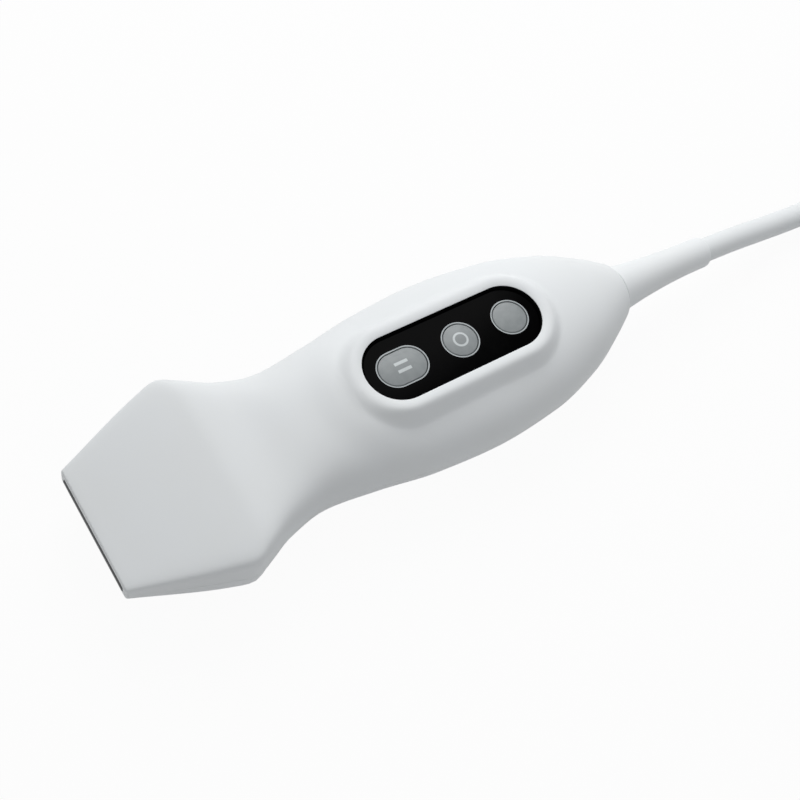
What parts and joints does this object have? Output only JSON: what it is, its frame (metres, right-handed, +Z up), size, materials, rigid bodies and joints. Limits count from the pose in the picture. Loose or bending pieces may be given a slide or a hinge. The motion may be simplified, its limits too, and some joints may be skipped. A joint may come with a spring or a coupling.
{
  "type": "ultrasound transducer probe",
  "caption": "Hand-held ultrasound probe with a flat blade head and linear lens, a palm grip with push-buttons on a dark oblong panel, a tail boot and a cable folded into a tied hank with a plug.",
  "frame": {"origin": "middle of the probe from lens to boot tip, on the surface that the belly rests on", "axes": "+X from the lens to the tail, +Y across the probe, +Z up through the button panel"},
  "size_m": [0.4057, 0.0831, 0.0329],
  "materials": {
    "housing": "satin",
    "seal": "matte",
    "lens": "satin",
    "matching": "matte",
    "ceramic": "matte",
    "backing": "matte",
    "flex": "satin",
    "board": "satin",
    "chip": "matte",
    "socket": "matte",
    "sheet": "brushed",
    "steel": "satin",
    "window": "gloss",
    "tape": "matte",
    "trim": "satin",
    "cap": "satin",
    "light": "gloss",
    "boot": "satin",
    "jacket": "satin",
    "wire": "satin",
    "tie": "matte",
    "plug_metal": "satin",
    "tongue": "matte"
  },
  "bodies": {
    "probe": {"upper_shell": "housing", "lower_shell": "housing", "shell_seal": "seal", "acoustic_lens": "lens", "matching_layer": "matching", "piezo_array": "ceramic", "backing_block": "backing", "array_carrier": "chip", "array_flex": "flex", "flex_socket": "socket", "heat_spreader": "sheet", "main_board": "board", "front_end_chips": "chip", "shield_can": "sheet", "processor_chip": "chip", "cable_connector": "socket", "board_screws": "steel", "button_window": "window", "window_tape": "tape", "trim_rings": "trim", "dome_switches": "steel", "ring_lights": "light", "key_board": "board", "key_board_screws": "steel", "board_link": "flex", "strain_relief_boot": "boot", "cable_clamp": "steel", "wire_loom": "wire", "cable": "jacket", "cable_coil": "jacket", "coil_tie": "tie", "plug_boot": "boot", "plug_grip": "boot", "plug_shell": "plug_metal", "plug_tongue": "tongue"},
    "freeze_button": {"freeze_button": "cap"},
    "mode_button": {"mode_button": "cap"},
    "save_button": {"save_button": "cap"}
  },
  "joints": [
    {"name": "freeze_press", "type": "slide", "parent": "probe", "child": "freeze_button", "axis": [0, 0, -1], "range_m": [0, 0.0004], "stiffness_N_per_m": 1500, "springref_m": -0.0004},
    {"name": "mode_press", "type": "slide", "parent": "probe", "child": "mode_button", "axis": [0, 0, -1], "range_m": [0, 0.0004], "stiffness_N_per_m": 1500, "springref_m": -0.0004},
    {"name": "save_press", "type": "slide", "parent": "probe", "child": "save_button", "axis": [0, 0, -1], "range_m": [0, 0.0004], "stiffness_N_per_m": 1500, "springref_m": -0.0004}
  ]
}
